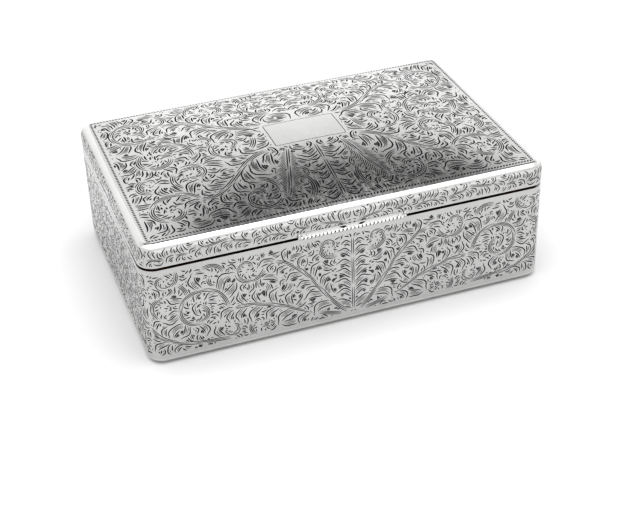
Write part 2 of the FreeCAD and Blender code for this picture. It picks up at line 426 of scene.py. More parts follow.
def sideways(headings):
    """Unit steps to the left of these headings."""
    return np.stack([-np.sin(headings), np.cos(headings)], 1)


def leaf_shape(root, heading, length, bend):
    """An acanthus lobe's middle line, and its outer and inner edges; it curls over at its end."""
    path, headings = curve(root, heading, length, *(bend / length * turn for turn in LOBE_TURNS))
    across = sideways(headings) * math.copysign(1.0, bend)
    t = np.linspace(0, 1, len(path))
    swell = (LEAF_SHARE * length * np.sin(math.pi * t ** 0.85) ** 0.8)[:, None]
    scallop = (SCALLOP_SHARE * length * np.abs(np.sin(SCALLOPS * math.pi * t)) * t)[:, None]
    return path, across, swell, path - across * (swell + scallop), path + across * swell * INNER_SHARE


def leaf(plate, root, heading, length, bend, room=0.72, tries=2):
    """Cuts a lobe where it has room: its two edges, hair lines from the root, and a dark fold."""
    for _ in range(tries):
        path, across, swell, outer, inner = leaf_shape(root, heading, length, bend)
        if plate.free(np.concatenate([outer[4:], path[4:], inner[4:]])).mean() > room:
            break
        length *= LEAF_SHRINK
        if length < SMALLEST_LEAF * plate.weight:
            return
    else:
        return
    count = len(path)
    plate.cut(outer, OUTLINE)
    plate.cut(inner[:int(count * 0.9)], OUTLINE)
    spread = 1 + INNER_SHARE
    breadth = spread * LEAF_SHARE * length - OUTLINE * plate.weight
    hairs = max(0, int(breadth / (HAIR_STEP * plate.spacing)))
    for number in range(hairs):
        odd = number % 2
        share = (number + 1) / (hairs + 1) * spread - 1
        first, last = 0.04 + 0.05 * odd, 0.9 - 0.35 * abs(share) - 0.15 * odd
        hair = path + across * swell * share
        plate.cut(hair[int(count * first):int(count * last)], HAIR, gap=0.12)
    plate.keep_bright(np.concatenate([outer, inner[::-1]]))
    fold = path + across * (swell * INNER_SHARE + 0.2 * plate.weight)
    start = int(count * plate.draw.uniform(0.2, 0.45))
    if plate.draw.random() < DARK_CHANCE:
        rows = plate.dark_rows + plate.draw.choice((0, 1, 2)) + int(length > LONG_LEAF)
        plate.hatch(fold[start:int(count * 0.98)], math.copysign(1.0, bend), rows)


def stem(plate, path, headings, lines=3):
    """A stem: hair lines side by side, in lengths that a burin could cut."""
    across = sideways(headings)
    for number in range(lines):
        offset = (number - (lines - 1) / 2) * STEM_STEP * plate.weight
        fine = resample(path + across * offset, STEM_SAMPLE)
        breaks = np.arange(40 + 17 * number, len(fine), 50)
        for piece in np.split(fine, breaks):
            if len(piece) > 2:
                plate.cut(piece, STEM_LINE, gap=0.1)


def path_length(path):
    return np.linalg.norm(np.diff(path, axis=0), axis=1).sum()


def frond(plate, path, headings, leaf_length, sides=(1, -1), taper=0.5, lines=3):
    """A stem with lobes that curl away from it, smaller towards its end, and a lobe for a tip."""
    stem(plate, path, headings, lines)
    across = sideways(headings)
    edge = 0.3 * lines * plate.weight
    count = max(2, int(path_length(path) / (leaf_length * FROND_PITCH)))
    for number in range(count):
        place = (number + 0.35) / count
        for side in sides:
            at = min(len(path) - 1, int(round((place + 0.12 * (side < 0)) * (len(path) - 1))))
            size = leaf_length * (1 - taper * place) * plate.draw.uniform(0.75, 1.25)
            bend = side * plate.draw.uniform(1.5, 2.4)
            leaf(plate, path[at] + across[at] * side * edge, headings[at] + side * FROND_LEAN, size, bend)
    leaf(plate, path[-1], headings[-1], leaf_length * 0.7, plate.draw.choice((-1.6, 1.6)))


def grow(plate, start, degrees, length, turns, leaf_length, **style):
    """A frond from start, which sets off at this angle and turns as curve says."""
    path, headings = curve(start, math.radians(degrees), length, *turns)
    frond(plate, path, headings, leaf_length, **style)


def scroll(plate, centre, radius, start, hand, turns=1.25):
    """A C-scroll: a stem that winds in round a centre, with lobes along both its sides."""
    t = np.linspace(0, 1, SCROLL_POINTS)
    angles = start + hand * 2 * math.pi * turns * t
    radii = radius * (1 - 0.84 * t ** 0.9)
    path = np.array(centre) + radii[:, None] * np.stack([np.cos(angles), np.sin(angles)], 1)
    steps = np.gradient(path, axis=0)
    headings = np.unwrap(np.arctan2(steps[:, 1], steps[:, 0]))
    across = sideways(headings) * -hand
    stem(plate, path, headings, lines=3 if radius > 5 else 2)
    count = max(4, int(path_length(path) / (radius * SCROLL_PITCH)))
    edge = 0.6 * plate.weight
    for number in range(count):
        place = (number + 0.3) / count
        at = int(place * (SCROLL_POINTS - 1))
        size = radius * 0.85 * (1 - 0.6 * place) * plate.draw.uniform(0.85, 1.15)
        for way, lean, share, least, most in SCROLL_LOBES:
            leaf(plate, path[at] + across[at] * edge * way, headings[at] - way * hand * lean, size * share,
                 -way * hand * plate.draw.uniform(least, most))
    turn = np.linspace(0, 1.6 * math.pi, 16)
    eye = path[-1] + 0.11 * radius * np.stack([np.cos(turn), np.sin(turn)], 1)
    plate.hatch(eye, 1.0, 2, shortest=0.8)


def feather(plate, path, headings, rib, lean=0.75):
    """A fern: a spine with close ribs that slant away from it on both sides."""
    across = sideways(headings)
    stem(plate, path, headings, lines=2)
    fine = resample(path, RIB_STEP * plate.weight)
    for number in range(2, len(fine) - 1):
        share = number / len(fine)
        at = min(len(path) - 1, int(share * len(path)))
        full = math.sin(math.pi * min(0.97, 0.12 + share * 0.85)) ** 0.7
        size = rib * full * plate.draw.uniform(0.7, 1.15)
        for side in (1, -1):
            root = fine[number] + across[at] * side * 0.4 * plate.weight
            line, _ = curve(root, headings[at] + side * lean, size, side * 0.02, side * 0.1, points=12)
            plate.cut(line, HAIR, gap=0.08)


def best_leaf(plate, spot, length):
    """A lobe at this spot, turned whichever way leaves it most room."""
    draw = plate.draw
    choices = []
    for _ in range(7):
        heading = draw.uniform(0, 2 * math.pi)
        bend = draw.choice((-1, 1)) * draw.uniform(1.3, 2.3)
        root = spot - np.array([math.cos(heading), math.sin(heading)]) * length * 0.45
        _, _, _, outer, inner = leaf_shape(root, heading, length, bend)
        choices.append((plate.free(np.concatenate([outer, inner])).mean(), heading, bend, root))
    _, heading, bend, root = max(choices, key=lambda choice: choice[0])
    leaf(plate, root, heading, length, bend, room=0.66, tries=3)


def short_curve(plate, spot, shortest, longest, turn_end, points):
    """A small bent line that sets off any way from this spot."""
    length = plate.weight * plate.draw.uniform(shortest, longest)
    return curve(spot, plate.draw.uniform(0, 2 * math.pi), length, 0.2, turn_end, points)[0]


def fill(plate, scrolls, leaves, patches, dashes, size):
    """Covers what is left: large and small scrolls, lobes of every size, dark patches, and dashes."""
    draw = plate.draw
    for count, (least, most, tries, turns) in zip(scrolls, FILL_SCROLLS):
        for _ in range(count):
            radius = size * draw.uniform(least, most)
            spot, share = plate.roomiest(radius, tries)
            if share > ROOMY:
                scroll(plate, spot, radius, draw.uniform(0, 2 * math.pi), draw.choice((-1, 1)), turns)
    smallest = FILL_LEAF * plate.weight
    for number in range(leaves):
        length = size - (size - smallest) * number / leaves
        spot, share = plate.roomiest(length * 0.4, 12)
        if share > ROOMY:
            best_leaf(plate, spot, length)
    for _ in range(patches):
        spot, share = plate.roomiest(0.35 * plate.weight * plate.dark_rows, 8)
        if share > ROOMY:
            path = short_curve(plate, spot, 1.4, 2.8, 0.4, points=10)
            plate.hatch(path, draw.choice((-1, 1)), plate.dark_rows + draw.choice((0, 1)))
    for _ in range(dashes):
        spot, share = plate.roomiest(0.3 * plate.weight, 5)
        if share > 0.8:
            plate.cut(short_curve(plate, spot, 0.8, 1.8, 0.5, points=8), STEM_LINE, shortest=2.0)


def mirrored(strokes):
    """The same strokes on the other side of the middle, which is where the first coordinate is 0."""
    flip = np.array([-1.0, 1.0])
    return [(nodes * flip, widths) for nodes, widths in strokes]


# --- Engraved surfaces ---

def stroke_points(nodes, halves):
    """A stroke's corners: both ends, then left, middle and right of every place between them."""
    along = np.gradient(nodes, axis=0)
    along /= np.linalg.norm(along, axis=1)[:, None]
    away = np.stack([-along[:, 1], along[:, 0]], 1) * halves[:, None]
    inner = slice(1, -1)
    return np.concatenate([nodes[[0, -1]], (nodes + away)[inner], nodes[inner], (nodes - away)[inner]])


def triangulate(boundary, strokes, loose):
    """Triangles of a face whose strokes are cut in: points, depths, triangles and the grooves' flags."""
    points = [np.asarray(boundary, float)]
    count = len(boundary)
    edges = [(i, (i + 1) % count) for i in range(count)]
    depths = [np.zeros(count)]
    for nodes, halves in strokes:
        inner = len(nodes) - 2
        points.append(stroke_points(nodes, halves))
        for lane in range(3):
            chain = [count] + [count + 2 + lane * inner + i for i in range(inner)] + [count + 1]
            edges += list(zip(chain, chain[1:]))
        depth = np.minimum(halves[1:-1] * 2 * GROOVE_DEPTH, DEEPEST)
        depths.append(np.concatenate([np.zeros(2 + inner), depth, np.zeros(inner)]))
        count += 2 + 3 * inner
    points.append(np.asarray(loose, float).reshape(-1, 2))
    depths.append(np.zeros(len(points[-1])))
    depths = np.concatenate(depths)
    vectors = [Vector(point) for point in np.concatenate(points).tolist()]
    out, _, faces, origins, _, _ = delaunay_2d_cdt(vectors, edges, [], 1, 1e-5)
    depth = np.array([max([depths[i] for i in origin], default=0.0) for origin in origins])
    flat = np.array([tuple(point) for point in out])
    triangles = np.array([face for face in faces if len(face) == 3])
    return flat, depth, triangles, (depth[triangles] > 0).any(1)


def loose_points(columns, rows, plate=None):
    """A grid of points that lets a face follow its curve, clear of a mirrored plate's strokes."""
    grid = np.array([(x, y) for x in columns for y in rows])
    if plate is None:
        return grid
    folded = np.column_stack([np.abs(grid[:, 0]), grid[:, 1]])
    return grid[plate.clear(folded) & plate.clear(folded + np.array([LOOSE_CLEAR, 0]))]


def add_to_scene(name, data):
    thing = bpy.data.objects.new(name, data)
    bpy.context.scene.collection.objects.link(thing)
    return thing


def new_object(name, points, faces, body, replaced, slot, *looks):
    mesh = bpy.data.meshes.new(name)
    mesh.from_pydata([tuple(p) for p in (np.asarray(points) * MM).tolist()], [], [list(f) for f in faces])
    mesh.validate()
    for look in looks:
        mesh.materials.append(materials[look])
    piece = add_to_scene(name, mesh)
    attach(piece, body)
    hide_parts(replaced)
    return piece


def set_normals(mesh, normals):
    """Shades smoothly, with these normals at the corners of the faces."""
    mesh.polygons.foreach_set("use_smooth", np.ones(len(mesh.polygons), bool))
    mesh.normals_split_custom_set(normals.reshape(-1, 3).tolist())


def engraved_object(name, flat, depth, triangles, groove, surface, body, replaced):
    """A face with its strokes cut in. The bright part keeps the true surface's normals."""
    position, normals = surface(flat)
    points = position - normals * depth[:, None]
    piece = new_object(name, points, triangles, body, replaced, "silver_engraved", "engraved", "groove")
    piece.data.polygons.foreach_set("material_index", groove.astype(np.int32))
    corners = points[triangles]
    facing = np.cross(corners[:, 1] - corners[:, 0], corners[:, 2] - corners[:, 0])
    facing /= np.maximum(np.linalg.norm(facing, axis=1), 1e-12)[:, None]
    split = normals[triangles]
    split[groove] = facing[groove][:, None, :]
    set_normals(piece.data, split)


def engraved_face(name, bottom, top, plate, columns, levels, surface, body, replaced):
    """A face in mirror image about its middle: the plate's strokes, and the same the other way."""
    strokes = plate.strokes + mirrored(plate.strokes)
    faces = triangulate(bottom + top[::-1], strokes, loose_points(columns, levels, plate))
    engraved_object(name, *faces, surface, body, replaced)


# --- Materials ---

NOISE_RANGE = (0.3, 0.7)      # nearly all of a noise texture's values


class Nodes:
    """A node tree, with short ways to add to it."""

    def __init__(self, tree):
        self.tree = tree

    def add(self, kind, **settings):
        node = self.tree.nodes.new(kind)
        for name, value in settings.items():
            setattr(node, name, value)
        return node

    def link(self, source, target):
        self.tree.links.new(source, target)

    def ramp(self, source, stops):
        node = self.add("ShaderNodeValToRGB")
        elements = node.color_ramp.elements
        while len(elements) < len(stops):
            elements.new(0.5)
        for element, (place, colour) in zip(elements, stops):
            element.position = place
            element.color = (*colour, 1)
        self.link(source, node.inputs["Fac"])
        return node.outputs["Color"]

    def ranged(self, source, start, end, low, high, **settings):
        node = self.add("ShaderNodeMapRange", **settings)
        self.link(source, node.inputs["Value"])
        for name, value in (("From Min", start), ("From Max", end), ("To Min", low), ("To Max", high)):
            node.inputs[name].default_value = value
        return node.outputs["Result"]


class Paint(Nodes):
    """A node material, with short ways to add its textures."""

    def __init__(self, name):
        self.material = bpy.data.materials.new(name)
        self.material.use_nodes = True
        super().__init__(self.material.node_tree)
        self.shader = self.tree.nodes["Principled BSDF"].inputs
        self.place = self.add("ShaderNodeTexCoord").outputs["Object"]

    def noise(self, scale, detail=3.0, roughness=0.5, stretch=(1, 1, 1), distortion=0.0):
        mapping = self.add("ShaderNodeMapping")
        mapping.inputs["Scale"].default_value = stretch
        self.link(self.place, mapping.inputs["Vector"])
        node = self.add("ShaderNodeTexNoise")
        self.link(mapping.outputs["Vector"], node.inputs["Vector"])
        for name, value in (("Scale", scale), ("Detail", detail), ("Roughness", roughness),
                            ("Distortion", distortion)):
            node.inputs[name].default_value = value
        return node.outputs["Fac"]

    def colour(self, source, stops):
        self.link(self.ramp(source, stops), self.shader["Base Color"])

    def roughness(self, source, low, high):
        self.link(self.ranged(source, *NOISE_RANGE, low, high), self.shader["Roughness"])

    def bump(self, source, strength, depth_m):
        node = self.add("ShaderNodeBump")
        node.inputs["Strength"].default_value = strength
        node.inputs["Distance"].default_value = depth_m
        self.link(source, node.inputs["Height"])
        self.link(node.outputs["Normal"], self.shader["Normal"])


def silver(name, bright, dull, gloss, bump=0.08):
    """Silver: faint tarnish, fine rubbing marks, and a gloss that varies a little."""
    paint = Paint(name)
    paint.shader["Metallic"].default_value = 1.0
    paint.colour(paint.noise(55.0, detail=5.0, roughness=0.6), [(0.32, dull), (0.68, bright)])
    marks = paint.noise(900.0, detail=2.0, stretch=(1, 0.15, 0.6), distortion=0.4)
    paint.roughness(marks, *gloss)
    paint.bump(marks, bump, 0.00002)
    return paint.material


def oxidised(name):
    """The dark, matt bottom of a burin cut."""
    paint = Paint(name)
    grain = paint.noise(700.0)
    paint.colour(grain, [(0.3, (0.004, 0.004, 0.005)), (0.7, (0.016, 0.015, 0.015))])
    paint.roughness(grain, 0.6, 0.8)
    paint.shader["Specular IOR Level"].default_value = 0.12
    return paint.material


def cedar(name, grain):
    """Spanish cedar: a red-brown grain that runs along the board, with fine pores."""
    paint = Paint(name)
    bands = paint.noise(260.0, detail=4.0, roughness=0.6, stretch=grain, distortion=0.6)
    stops = [(0.3, (0.15, 0.055, 0.027)), (0.5, (0.25, 0.102, 0.052)), (0.72, (0.34, 0.16, 0.085))]
    paint.colour(bands, stops)
    pores = paint.noise(1500.0, detail=2.0, stretch=grain)
    paint.roughness(pores, 0.5, 0.72)
    paint.bump(pores, 0.25, 0.0001)
    return paint.material


def baize(name):
    """Dark green wool cloth."""
    paint = Paint(name)
    fibres = paint.noise(1800.0, detail=4.0, roughness=0.7)
    paint.colour(fibres, [(0.3, (0.012, 0.035, 0.024)), (0.7, (0.03, 0.075, 0.05))])
    paint.shader["Roughness"].default_value = 0.95
    paint.shader["Sheen Weight"].default_value = 0.5
    paint.bump(fibres, 0.6, 0.0003)
    return paint.material


def pale_floor(name):
    paint = Paint(name)
    paint.colour(paint.noise(3.0, detail=2.0), [(0.3, (0.62, 0.62, 0.62)), (0.7, (0.65, 0.65, 0.65))])
    paint.shader["Roughness"].default_value = 0.8
    paint.shader["Specular IOR Level"].default_value = 0.2
    return paint.material


materials = {
    "engraved": silver("engraved_silver", (0.57, 0.57, 0.566), (0.52, 0.52, 0.514), (0.15, 0.26)),
    "plain": silver("plain_silver", (0.68, 0.68, 0.672), (0.62, 0.62, 0.612), (0.12, 0.22)),
    "polished": silver("polished_silver", (0.7, 0.7, 0.695), (0.65, 0.65, 0.642), (0.07, 0.14), bump=0.03),
    "groove": oxidised("oxidised_cut"),
    "lift": silver("lift_silver", (0.6, 0.6, 0.593), (0.54, 0.54, 0.533), (0.12, 0.2), bump=0.03),
    "cedar_x": cedar("cedar_along_x", (0.06, 1.0, 1.0)),
    "cedar_y": cedar("cedar_along_y", (1.0, 0.06, 1.0)),
    "baize": baize("green_baize"),
    "floor": pale_floor("pale_floor"),
}


# --- The silver case ---

def unique(rows):
    """The stations' places, each once."""
    places = []
    for u, _ in rows:
        if not places or u - places[-1] > 1e-6:
            places.append(u)
    return np.array(places)


def filed(cut, insets):
    """Distance from the hinge's axis, up or down, to the edge that is filed away round it."""
    insets = np.asarray(insets, float)
    return np.where(insets < cut, np.sqrt(np.maximum(cut ** 2 - insets ** 2, 0)), 0.0)


def band_faces(places, rows, skipped=()):
    """Quads between the rows of points of a band that closes on itself."""
    faces = []
    for place in range(places):
        here, following = place * rows, (place + 1) % places * rows
        for row in range(rows - 1):
            if row not in skipped:
                faces.append((here + row, following + row, following + row + 1, here + row + 1))
    return faces


def swept(own_first, profile, skipped, name, body, replaced, caps):
    """Rows of points carried round the case. profile gives a station's insets and heights."""
    points = []
    for side in SIDES:
        for u, cut in stations(side, own_first)[:-1]:
            insets, heights = profile(side, u, cut)
            plan, normal = outline(side, [u])
            flat = plan - normal * np.asarray(insets)[:, None]
            points.append(np.column_stack([flat, heights]))
    places, rows = len(points), len(points[0])
    faces = band_faces(places, rows, skipped)
    for row, up in caps:
        loop = [place * rows + row for place in range(places)]
        faces.append(loop if up else loop[::-1])
    piece = new_object(name, np.concatenate(points), faces, body, replaced, "silver_plain", "plain")
    tidy_mesh(piece.data)


def tidy_mesh(mesh):
    """Joins points that coincide, drops what collapses, and shades smoothly except at edges."""
    work = bmesh.new()
    work.from_mesh(mesh)
    bmesh.ops.remove_doubles(work, verts=work.verts, dist=JOIN)
    bmesh.ops.dissolve_degenerate(work, edges=work.edges, dist=COLLAPSE)
    work.to_mesh(mesh)
    work.free()
    mesh.polygons.foreach_set("use_smooth", np.ones(len(mesh.polygons), bool))
    mesh.set_sharp_from_angle(angle=SMOOTH_ANGLE)


LIP_INSETS = np.linspace(0, WALL, 5)
TURNS = np.linspace(0, math.pi / 2, 8)


def tray_profile(side, u, cut):
    """From the flat base outwards, up to the wall; then over the rim and down the inside."""
    inner = BASE_ROUND - WALL
    base_insets = BASE_ROUND * (1 - np.sin(TURNS))
    base_heights = BASE_Z + BASE_ROUND * (1 - np.cos(TURNS))
    lip = np.minimum(RIM_Z, np.where(LIP_INSETS < cut, HINGE_Z - filed(cut, LIP_INSETS), RIM_Z))
    floor_insets = WALL + inner * (1 - np.cos(TURNS))
    floor_heights = BASE_Z + BASE_ROUND - inner * np.sin(TURNS)
    return (np.concatenate([base_insets, LIP_INSETS, floor_insets]),
            np.concatenate([base_heights, lip, floor_heights]))


def build_tray():
    last = 2 * len(TURNS) + len(LIP_INSETS) - 1
    caps = [(0, False), (last, True)]
    swept(0, tray_profile, [len(TURNS) - 1], "body_tray", "root", "body_shell", caps)


def lid_edge_heights(side, u, cut):
    """Heights across the lid's lower edge, from its outer face inwards."""
    eased = SKIRT_Z + relief(side, [u])[0]
    return np.maximum(eased, np.where(LIP_INSETS < cut, HINGE_Z + filed(cut, LIP_INSETS), eased))


def lid_inside_profile(side, u, cut):
    """From the underside of the dome down the inside, and out across the lower edge."""
    centre, last = lid_rounding(side, [u], WALL)
    turns = np.linspace(last[0], 0, len(TURNS))
    radius = LID_ROUND - WALL
    insets = WALL + radius * (1 - np.cos(turns))
    heights = centre[0] + radius * np.sin(turns)
    return (np.concatenate([insets, LIP_INSETS[::-1]]),
            np.concatenate([heights, lid_edge_heights(side, u, cut)[::-1]]))


def dome_edge(side, u, inset=0.0):
    """Points in plan where the rounded edge meets the dome, at this depth under the surface."""
    points, normals = outline(side, u)
    last = lid_rounding(side, u, inset)[1]
    return points - normals * (inset + (LID_ROUND - inset) * (1 - np.cos(last)))[:, None]


def build_lid_inside():
    swept(1, lid_inside_profile, [], "lid_inside", "lid", "lid_shell", [])
    ring = np.concatenate([dome_edge(side, unique(stations(side, 1))[:-1], WALL) for side in SIDES])
    columns, rows = (np.arange(-limit, limit, CEILING_STEP) for limit in TOP_HALF - CEILING_CLEAR)
    flat, _, triangles, _ = triangulate(ring, [], loose_points(columns, rows))
    height, _ = dome(flat, WALL)
    ceiling = new_object("lid_ceiling", np.column_stack([flat, height]), triangles[:, ::-1], "lid",
                         "lid_shell", "silver_plain", "plain")
    tidy_mesh(ceiling.data)


def on_rounding(side, u, level, turns):
    """Points and normals this far round the lid's edge, which starts to turn in at this level."""
    plan, normals = outline(side, u)
    insets = LID_ROUND * (1 - np.cos(turns))
    heights = level + LID_ROUND * np.sin(turns)
    facing = np.column_stack([normals * np.cos(turns)[:, None], np.sin(turns)])
    return np.column_stack([plan - normals * insets[:, None], heights]), facing


def build_polished_edge():
    """The plain bright band round the lid, from where the skirt's engraving stops to the top."""
    points, normals = [], []
    for side in SIDES:
        u = unique(stations(side, 1))[:-1]
        level, last = lid_rounding(side, u)
        turns = POLISH_START + (last - POLISH_START)[:, None] * np.linspace(0, 1, POLISH_ROWS)
        u, level = np.repeat(u, POLISH_ROWS), np.repeat(level, POLISH_ROWS)
        at, facing = on_rounding(side, u, level, turns.ravel())
        points.append(at)
        normals.append(facing)
    points, normals = np.concatenate(points), np.concatenate(normals)
    faces = band_faces(len(points) // POLISH_ROWS, POLISH_ROWS)
    piece = new_object("lid_polished_edge", points, faces, "lid", "lid_shell", "silver_plain", "polished")
    corner = np.empty(len(piece.data.loops), int)
    piece.data.loops.foreach_get("vertex_index", corner)
    set_normals(piece.data, normals[corner])


# --- Engraved faces ---

BODY_DRAWING = (BASE_Z + BASE_ROUND + 1.6, RIM_Z - 2.2)
AXIS_CLEAR = 0.2         # from a face's middle line to the nearest cut
TOP_MARGIN = 0.3         # from the top's edge to the nearest cut


def body_surface(side):
    def surface(flat):
        plan, normals = outline(side, flat[:, 0])
        return np.column_stack([plan, flat[:, 1]]), np.column_stack([normals, np.zeros(len(flat))])
    return surface


def skirt_surface(side):
    def surface(flat):
        u, q = flat.T
        level = lid_rounding(side, u)[0]
        return on_rounding(side, u, np.minimum(q, level), np.maximum(0, q - level) / LID_ROUND)
    return surface


def top_surface(flat):
    height, normals = dome(flat)
    return np.column_stack([flat, height]), normals


def curve_columns(side, step):
    """Places along a side: close together round its corners, wide apart between them."""
    half = SIDES[side][3]
    round_part = np.arange(half + 0.4, reach(side) - 0.3, step)
    flat_part = np.arange(-half, half, 5 * step)
    return np.concatenate([-round_part[::-1], flat_part, round_part])


def build_body_side(side, plate):
    rows = stations(side, 0)
    low = BASE_Z + BASE_ROUND
    bottom = [(u, low) for u in unique(rows)]
    top = [(u, min(RIM_Z, HINGE_Z - cut) if cut else RIM_Z) for u, cut in rows]
    levels = np.arange(low + 1.0, RIM_Z - 2.5, LEVEL_STEP)
    engraved_face("body_" + side, bottom, top, plate, curve_columns(side, COLUMN_STEP), levels,
                  body_surface(side), "root", "body_shell")


def build_skirt(side, plate):
    rows = stations(side, 1)
    places = unique(rows)
    level = lid_rounding(side, places)[0]
    bottom = [(u, lid_edge_heights(side, u, cut)[0]) for u, cut in rows]
    top = list(zip(places, level + LID_ROUND * POLISH_START))
    rounding = level.mean() + LID_ROUND * POLISH_START * np.array([0.05, 0.35, 0.65])
    columns = np.arange(0.9, reach(side) - 0.3, COLUMN_STEP)
    engraved_face("lid_skirt_" + side, bottom, top, plate, np.concatenate([-columns[::-1], columns]),
                  np.concatenate([[SKIRT_Z + 3.4], rounding]), skirt_surface(side), "lid", "lid_shell")


def top_ring_half():
    """The right half of the top's outline, from the front's middle round to the back's middle."""
    front, right, back = (unique(stations(side, 1)) for side in ("front", "right", "back"))
    kept = {"front": front[front >= 0][:-1], "right": right[right < reach("right")], "back": back[back <= 0]}
    return np.concatenate([dome_edge(side, u) for side, u in kept.items()])


def build_top(plate):
    """The domed top in two halves, which share the line down its middle."""
    ring = top_ring_half()
    ring[0, 0] = ring[-1, 0] = 0.0
    middle = np.linspace(ring[-1, 1], ring[0, 1], MIDDLE_POINTS)[1:-1]
    boundary = np.concatenate([ring, np.column_stack([np.zeros(len(middle)), middle])])
    limit = TOP_HALF - EDGE_CLEAR
    columns = np.arange(TOP_STEP / 2, limit[0], TOP_STEP)
    loose = loose_points(columns, np.arange(-limit[1] + 1, limit[1], TOP_STEP), plate)
    loose = loose[rounded_inside(loose, TOP_HALF - 0.5, CORNER - LID_ROUND)]
    for name, flip in (("lid_top_right", 1), ("lid_top_left", -1)):
        scale = np.array([flip, 1.0])
        strokes = plate.strokes if flip > 0 else mirrored(plate.strokes)
        faces = triangulate((boundary * scale)[::flip], strokes, loose * scale)
        engraved_object(name, *faces, top_surface, "lid", "lid_shell")


def rounded_inside(points, half, radius):
    """True inside a rectangle with rounded corners."""
    past = np.abs(points) - (half - radius)
    return np.where((past > 0).all(1), np.linalg.norm(past, axis=1) < radius, (past < radius).all(1))


def wall_plate(side, seed):
    """The level where a drawing on the body starts, and an empty plate for it."""
    low, high = BODY_DRAWING
    return low, Plate((AXIS_CLEAR, low), (reach(side) - AXIS_CLEAR, high), seed, weight=1.25)


def draw_front(seed):
    """Fronds that rise and part from the middle of the base, then scrolls and sprays to the corners."""
    low, plate = wall_plate("front", seed)
    grow(plate, (0.4, low + 1.5), 90, 36.0, (0.0, 0.0), 8.0, **MIDDLE_FROND)
    grow(plate, (2.5, low + 1.0), 38, 46.0, (0.035, -0.05), 12.0)
    grow(plate, (5.0, low + 0.8), 8, 50.0, (0.03, -0.04), 11.0)
    scroll(plate, (67.0, low + 18.0), 13.0, math.radians(200), -1)
    scroll(plate, (24.0, low + 30.0), 8.0, math.radians(250), 1)
    grow(plate, (54.0, low + 1.5), 5, 40.0, (-0.01, 0.07), 9.5)
    fill(plate, (2, 6), 260, 260, 400, 11.0)
    return plate


def draw_side(side, seed):
    """Two of the front's fronds, and a scroll towards each corner."""
    low, plate = wall_plate(side, seed)
    grow(plate, (0.4, low + 1.5), 90, 34.0, (0.0, 0.0), 8.0, **MIDDLE_FROND)
    grow(plate, (2.5, low + 1.0), 38, 42.0, (0.035, -0.06), 11.0)
    scroll(plate, (42.0, low + 17.0), 12.0, math.radians(200), -1)
    fill(plate, (1, 5), 170, 180, 280, 10.5)
    return plate


def draw_skirt(side, seed):
    """A running band of small leaf sprays."""
    low = SKIRT_Z + RELIEF_UP + 0.8
    high = EDGE_Z - LID_ROUND + LID_ROUND * POLISH_START - 0.45
    plate = Plate((AXIS_CLEAR, low), (reach(side) - AXIS_CLEAR, high), seed, weight=1.1)
    draw = plate.draw
    place = 2.0
    while place < reach(side) - 9:
        upwards = draw.choice((True, False))
        start = low + 1.2 if upwards else high - 1.2
        turn = math.radians(draw.uniform(10, 24)) * (1 if upwards else -1)
        length = draw.uniform(9, 18)
        path, headings = curve((place, start), turn, length, 0.0, -turn * 2.4 / length)
        frond(plate, path, headings, draw.uniform(5.2, 7.2), taper=0.35, lines=2)
        place += length * draw.uniform(0.75, 1.1)
    fill(plate, (0, 0), 60, 30, 60, 5.5)
    return plate


def border(plate, half):
    """A row of slanting cuts just inside the top's edge: a twisted cord."""
    reach_x, reach_y = half - BORDER_INSET
    step = np.full(2, BORDER_CUT / 2 * math.sqrt(0.5))
    places = [(x, y) for x in np.arange(BORDER_PITCH / 2, reach_x, BORDER_PITCH) for y in (-reach_y, reach_y)]
    places += [(reach_x, y) for y in np.arange(-reach_y, reach_y, BORDER_PITCH)]
    for place in places:
        plate.cut([place - step, place + step], BORDER_LINE, shortest=1.0, gap=0)
    for edge in (-half[1], half[1]):
        plate.block((-1, edge - BORDER_BAND), (half[0], edge + BORDER_BAND))
    plate.block((half[0] - BORDER_BAND, -half[1]), (half[0] + 1, half[1]))


def cartouche_lines(plate):
    """The plain panel: nothing is cut in it, and a fine line frames it."""
    x, y = CARTOUCHE
    for level in (-y, y):
        plate.rule((0.02, level), (x, level), CARTOUCHE_LINE)
    plate.rule((x, -y), (x, y), CARTOUCHE_LINE)
    plate.block((-1, -y - CARTOUCHE_MARGIN), (x + CARTOUCHE_MARGIN, y + CARTOUCHE_MARGIN))


def draw_top(seed):
    """Scrolls and fronds all over, in mirror image about the middle, round a small plain panel."""
    half = TOP_HALF
    high = half - TOP_MARGIN
    plate = Plate((AXIS_CLEAR, -high[1]), high, seed, weight=1.8, dark_rows=4, spacing=0.56)
    border(plate, half)
    cartouche_lines(plate)
    fern, headings = curve((12.0, -13.0), math.radians(-70), 33.0, -0.012, 0.018)
    feather(plate, fern, headings, 6.0)
    for way in (-1, 1):
        grow(plate, (0.5, way * 13.5), way * 90, 36.0, (0.0, 0.0), 8.5, sides=(-way,), taper=0.2,
             lines=(1 - way) // 2)
        grow(plate, (20.5, way * 11.0), way * 5, 44.0, (way * 0.075, way * -0.085), 12.5)
        scroll(plate, (69.0, way * 36.0), 14.0, math.radians(200), way)
        scroll(plate, (33.0, way * 40.0), 11.5, math.radians(90), -way)
    scroll(plate, (35.0, 0.0), 12.0, math.radians(170), 1)
    scroll(plate, (64.0, 4.0), 15.0, math.radians(200), -1)
    fill(plate, (5, 6), 800, 700, 1000, 12.5)
    return plate


# --- Thumb lift, pad and CAD pieces ---

